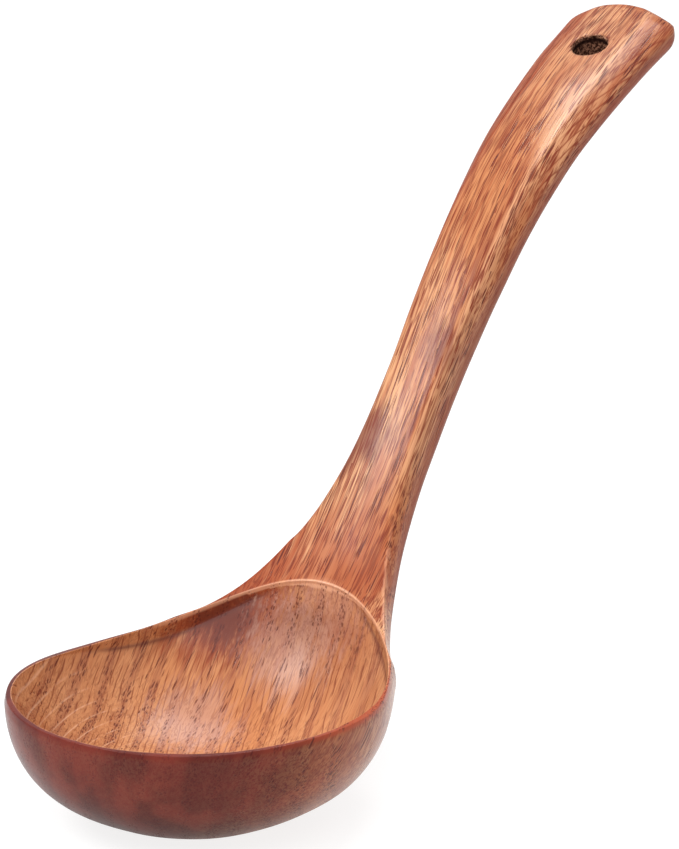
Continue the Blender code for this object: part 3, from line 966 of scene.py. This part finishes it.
    lay(g.times(near((84.0, 8.0, 73.0), 13.0), 0.75), PURPLE)
    lay(g.times(near((101.0, -5.0, 94.0), 8.0), 0.5), PURPLE)
    lay(g.times(near((47.0, 22.0, 37.0), 25.0), 0.85), NECK_RED)
    lay(g.times(near((57.0, -14.0, 46.0), 9.0), 0.5), RED)
    lay(g.times(near((56.0, 0.0, 44.0), 26.0), outside_hollow, 0.7), NECK_BROWN)
    # painted shade under the arch
    lay(g.times(near((44.0, 21.0, 34.0), 11.0), inside, 0.75), SHADE_UNDER_ARCH)
    # painted shade along the crease
    lay(g.times(g.attribute("crease"), 0.65), CREASE_SHADE)
    lay(g.times(near((-34.0, 18.0, 18.0), 30.0), inside, 0.6), TIP_BROWN)
    # painted reflection on the arch band, and painted highlights on the far wall and the floor of the hollow
    lay(g.times(near((50.0, -4.0, 38.0), 16.0), inside, 0.4), ARCH_REFLECTION_PINK)
    lay(g.times(near((46.0, 4.0, 28.0), 16.0), inside, 0.55), WALL_HIGHLIGHT_PINK)
    lay(g.times(near((25.0, 19.0, 12.0), 15.0), inside, 0.5), FLOOR_HIGHLIGHT_PINK)

    # fibre and vessel lines over them, then the edges
    lay(g.times(hair, g.minus(0.62, g.times(inside, 0.32))), HAIR_BROWN)
    lay(g.times(dash, 0.9), DASH_BROWN)
    lay(g.times(g.attribute("lip"), 0.85), g.mix(g.ramp(sideways, -6.0, 14.0), LIP_NEAR, LIP_FAR))
    # painted highlight along the arch's edge and the right-hand ridge
    lay(g.times(g.attribute("highlight_line"), 0.45), HIGHLIGHT_PALE)
    # painted shade along the handle's edges and round its end
    lay(g.times(g.attribute("edge"), g.ramp(streak, 0.3, 0.62, 0.5, 0.9)), EDGE_SHADE_BROWN)
    right_side = g.times(g.ramp(sideways, -22.0, -2.0, 0.55, 0.12), inside)
    lay(g.times(pore, g.minus(0.88, right_side)), PORE_BROWN)

    # fine pale marks of the turning tool near the tip
    swing = g.vector("LENGTH", g.combine(g.minus(x, 2.0), y, 0.0))
    swing = g.plus(swing, centred(g.noise(spot, 0.02, 1.0), 5.0))
    stroke = g.lines(swing, TOOL_SPACING, 0.07, 0.2)
    broken = g.ramp(g.noise(stretched(0.08, 0.1, 0.1), 1.0, 1.0), 0.3, 0.5)
    lay(g.times(stroke, broken, near((-16.0, 32.0, 20.0), 30.0), inside, 0.5), TOOL_PALE)

    # the dark outside colour, partly stain and partly painted shade: painted shade darkest underneath, and
    # painted light on the right
    outside = g.attribute("outside")
    broad = g.noise(stretched(0.03, 0.12, 0.12), 1.0, 2.0)
    stain_and_shade = g.mix(g.ramp(broad, 0.35, 0.65), STAIN_LIGHT, STAIN_DARK)
    stain_and_shade = g.mix(g.times(g.ramp(z, 1.0, 19.0, 1.0, 0.0), 0.92), stain_and_shade, PAINTED_SHADE_LOW)
    to_right = g.vector("DOT_PRODUCT", spot, (0.55, -0.83, 0.0))
    stain_and_shade = g.mix(g.ramp(to_right, 20.0, 44.0, 0.0, 0.4), stain_and_shade, PAINTED_LIGHT_RIGHT)
    stain_and_shade = g.mix(g.times(pore, g.ramp(outside, 0.5, 1.0, 0.7, 0.12)), stain_and_shade, STAIN_PORE)
    lay(g.times(outside, 0.94), stain_and_shade)

    # the bare wall of the hang hole, painted dark as shade just under its mouth
    hole = g.attribute("hole")
    grit = g.noise(scaled(spot, 1.3), 1.0, 3.0, 0.7)
    dusty = g.mix(g.ramp(grit, 0.45, 0.6), DUST_DARK, DUST_PALE)
    lay(hole, g.mix(g.attribute("mouth"), dusty, MOUTH_SHADE))
    g.feed(shader.inputs["Base Color"], colour)

    rough = g.plus(0.4, g.times(pore, 0.25))
    g.feed(shader.inputs["Roughness"], g.plus(rough, g.times(hole, 0.4), clamp=True))
    shader.inputs["Specular IOR Level"].default_value = 0.02
    shader.inputs["Specular Tint"].default_value = (0.5, 0.25, 0.15, 1.0)
    # the coat is dulled where shade is painted on the handle's edges and sides, on the hole's wall and low
    # down
    dull = g.math("MAXIMUM", hole, g.times(g.attribute("dulled_coat"), 0.85))
    dull = g.math("MAXIMUM", dull, g.ramp(z, 0.0, 20.0, 1.0, 0.0))
    g.feed(shader.inputs["Coat Weight"], g.times(g.minus(1.0, dull), g.minus(0.95, g.times(outside, 0.35))))
    shader.inputs["Coat Roughness"].default_value = COAT_ROUGHNESS
    shader.inputs["Coat IOR"].default_value = COAT_IOR

    def bumped(height, strength, depth):
        made = g.node("ShaderNodeBump")
        made.inputs["Strength"].default_value = strength
        made.inputs["Distance"].default_value = depth
        g.feed(made.inputs["Height"], height)
        return made.outputs[0]

    relief = g.plus(g.minus(g.times(streak, 0.4), pore), g.times(grit, hole, 6.0))
    g.feed(shader.inputs["Normal"], bumped(relief, 0.7, PORE_DEPTH))
    wave = g.noise(stretched(0.1, 0.4, 0.4), 1.0, 2.0)
    g.feed(shader.inputs["Coat Normal"], bumped(g.plus(wave, g.times(relief, 0.4)), 0.5, FILM_DEPTH))
    return material


ladle.data.materials.clear()
ladle.data.materials.append(lacquered_wood())
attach(ladle, "root")
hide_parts("ladle_body")


# ---- floor, light and camera ----------------------------------------------------------------------------
FLOOR_REACH = 8.0
FLOOR_DROP = 0.0002
FLOOR_GREY = 0.22
FLOOR_GLOW = 0.83
WORLD_GLOW = 0.6
SENSOR_WIDTH = 36.0


def floor_material():
    material = bpy.data.materials.new("pale_floor")
    material.use_nodes = True
    shader = material.node_tree.nodes["Principled BSDF"]
    shader.inputs["Base Color"].default_value = (FLOOR_GREY, FLOOR_GREY, FLOOR_GREY, 1.0)
    shader.inputs["Roughness"].default_value = 0.7
    shader.inputs["Specular IOR Level"].default_value = 0.2
    shader.inputs["Emission Color"].default_value = (1.0, 1.0, 1.0, 1.0)
    shader.inputs["Emission Strength"].default_value = FLOOR_GLOW
    return material


floor_mesh = bpy.data.meshes.new("studio_floor")
floor_mesh.from_pydata(
    [(-FLOOR_REACH, -FLOOR_REACH, 0), (FLOOR_REACH, -FLOOR_REACH, 0),
     (FLOOR_REACH, FLOOR_REACH, 0), (-FLOOR_REACH, FLOOR_REACH, 0)], [], [(0, 1, 2, 3)])
floor = bpy.data.objects.new("studio_floor", floor_mesh)
floor.location.z = -FLOOR_DROP
floor_mesh.materials.append(floor_material())
bpy.context.scene.collection.objects.link(floor)

world = bpy.data.worlds.new("studio")
world.use_nodes = True
world.node_tree.nodes["Background"].inputs["Color"].default_value = (1.0, 0.99, 0.98, 1.0)
world.node_tree.nodes["Background"].inputs["Strength"].default_value = WORLD_GLOW
bpy.context.scene.world = world


def softbox(name, position, target, width, height, power):
    data = bpy.data.lights.new(name, "AREA")
    data.shape = "RECTANGLE"
    data.size = width
    data.size_y = height
    data.energy = power
    light = bpy.data.objects.new(name, data)
    light.location = position
    light.rotation_euler = (Vector(target) - Vector(position)).to_track_quat("-Z", "Y").to_euler()
    bpy.context.scene.collection.objects.link(light)


# camera: azimuth and elevation of the photographed view, and how far its eye is moved off the target
TURN = math.radians(33.37)
RISE = math.radians(15.374)
DISTANCE = 0.99411
LENS = 173.904                  # millimetres, on the sensor width above
EYE_TO_RIGHT = 0.009484
EYE_UPWARDS = -0.003591
back = Vector((-math.cos(TURN) * math.cos(RISE), -math.sin(TURN) * math.cos(RISE), math.sin(RISE)))
right = Vector((math.sin(TURN), -math.cos(TURN), 0.0))
up = back.cross(right)
target = Vector((0.045, 0.0, 0.090))
eye = target + back * DISTANCE + right * EYE_TO_RIGHT + up * EYE_UPWARDS
camera_data = bpy.data.cameras.new("camera")
camera_data.sensor_fit = "AUTO"
camera_data.sensor_width = SENSOR_WIDTH
camera_data.lens = LENS
camera_data.clip_start = 0.05
camera_data.clip_end = 50.0
camera = bpy.data.objects.new("camera", camera_data)
camera.matrix_world = Matrix.Translation(eye) @ Matrix((right, up, back)).transposed().to_4x4()
bpy.context.scene.collection.objects.link(camera)
bpy.context.scene.camera = camera


def seen_from_camera(sideways, upwards, towards):
    """A place given by its distances to the right of, above and in front of the ladle's middle."""
    level = Vector((back.x, back.y, 0.0)).normalized()
    return target + right * sideways + Vector((0, 0, 1)) * upwards + level * towards


softbox("overhead", seen_from_camera(0.12, 1.25, -0.42), target, 0.8, 0.5, 11.0)
softbox("left", seen_from_camera(-0.95, 1.0, 0.2), target, 0.5, 0.5, 9.0)
softbox("front", seen_from_camera(-0.3, 1.1, 1.2), target, 1.6, 0.9, 14.0)

bpy.context.scene.view_settings.view_transform = "Standard"
